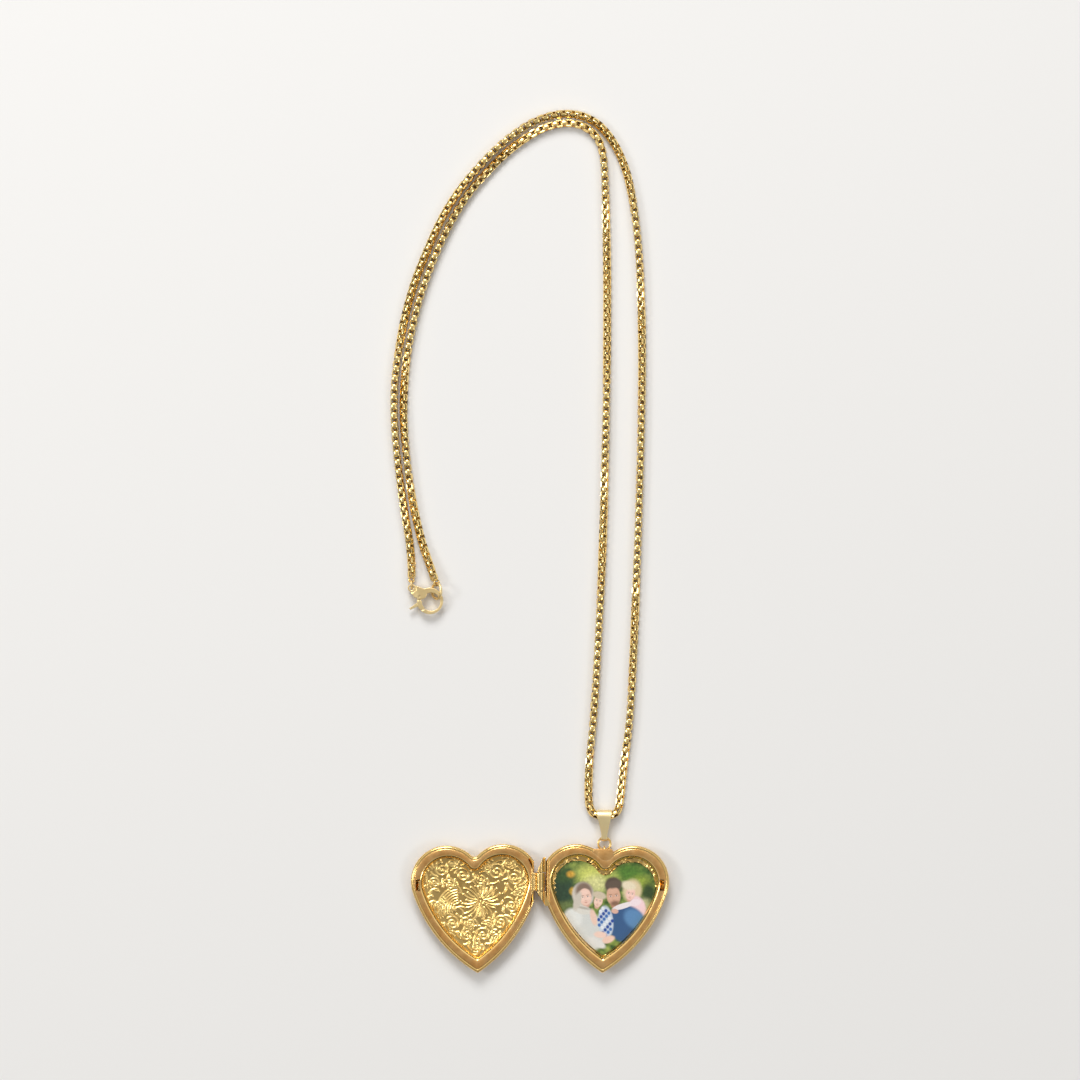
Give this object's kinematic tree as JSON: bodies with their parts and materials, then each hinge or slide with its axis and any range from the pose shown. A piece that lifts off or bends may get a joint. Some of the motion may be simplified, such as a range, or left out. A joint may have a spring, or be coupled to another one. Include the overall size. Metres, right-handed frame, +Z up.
{
  "type": "locket necklace",
  "caption": "Open heart photo locket, hinged at one side, hanging by a jump ring and tapered bail from a long box chain with a sprung claw clasp.",
  "frame": {"origin": "on the table, under the middle of the open locket with its jump ring and bail", "axes": "+X along the open locket from the cover to the back leaf, +Y from the locket towards the chain, +Z up from the table"},
  "size_m": [0.0641, 0.1982, 0.0041],
  "materials": {
    "polished_gold": "polished gold plate",
    "embossed_gold": "polished gold plate over a pressed flower pattern",
    "satin_gold": "fine satin gold plate",
    "pale_gold": "satin pale gold plate",
    "chain_gold": "bright gold plate, worn bright on the corners",
    "clasp_gold": "polished gold plate",
    "spring_steel": "bare spring wire",
    "printed_paper": "glossy colour print"
  },
  "bodies": {
    "chain": {"chain": "chain_gold", "left_end_link": "chain_gold", "right_end_link": "chain_gold"},
    "clasp_link": {"clasp_link": "clasp_gold"},
    "clasp": {"clasp_body": "clasp_gold", "clasp_pin": "clasp_gold", "clasp_spring": "spring_steel"},
    "lever": {"clasp_lever": "clasp_gold"},
    "end_ring": {"end_ring": "clasp_gold"},
    "bail": {"bail": "pale_gold"},
    "hanging_ring": {"hanging_ring": "polished_gold"},
    "locket_back": {"back_shell": "polished_gold", "back_rim_frame": "satin_gold", "back_knuckles": "polished_gold", "photo_print": "printed_paper", "hanging_loop": "polished_gold", "hinge_pin": "polished_gold"},
    "locket_cover": {"cover_shell": "embossed_gold", "cover_rim_frame": "satin_gold", "cover_knuckle": "polished_gold", "catch_tongue": "polished_gold"}
  },
  "joints": [
    {"name": "bail_swing", "type": "hinge", "parent": "chain", "child": "bail", "pos_m": [0.0148, 0.01729, 0.0014], "axis": [1, 0, 0], "range_deg": [-60, 60]},
    {"name": "ring_swing", "type": "hinge", "parent": "bail", "child": "hanging_ring", "pos_m": [0.0148, 0.01223, 0.00095], "axis": [1, 0, 0], "range_deg": [-40, 40]},
    {"name": "pendant_swing", "type": "hinge", "parent": "hanging_ring", "child": "locket_back", "pos_m": [0.0148, 0.00955, 0.00095], "axis": [1, 0, 0], "range_deg": [-40, 40]},
    {"name": "cover_hinge", "type": "hinge", "parent": "locket_back", "child": "locket_cover", "pos_m": [0, 0.00229, 0.00308], "axis": [0, 1, 0], "range_deg": [0, 180]},
    {"name": "clasp_swing", "type": "hinge", "parent": "chain", "child": "clasp", "pos_m": [-0.02956, 0.06968, 0.0014], "axis": [0, 0, 1], "range_deg": [-2, 1]},
    {"name": "lever_open", "type": "hinge", "parent": "clasp", "child": "lever", "pos_m": [-0.02776, 0.06769, 0.0014], "axis": [0, 0, 1], "range_deg": [0, 20], "stiffness_Nm_per_rad": 0.0005, "springref_deg": -5.73},
    {"name": "clasp_link_roll", "type": "hinge", "parent": "chain", "child": "clasp_link", "pos_m": [-0.02956, 0.07048, 0.00117], "axis": [0, 1, 0], "range_deg": [-10, 10]},
    {"name": "end_ring_roll", "type": "hinge", "parent": "chain", "child": "end_ring", "pos_m": [-0.02375, 0.069, 0.0018], "axis": [0, 1, 0], "range_deg": [-5, 5]}
  ]
}
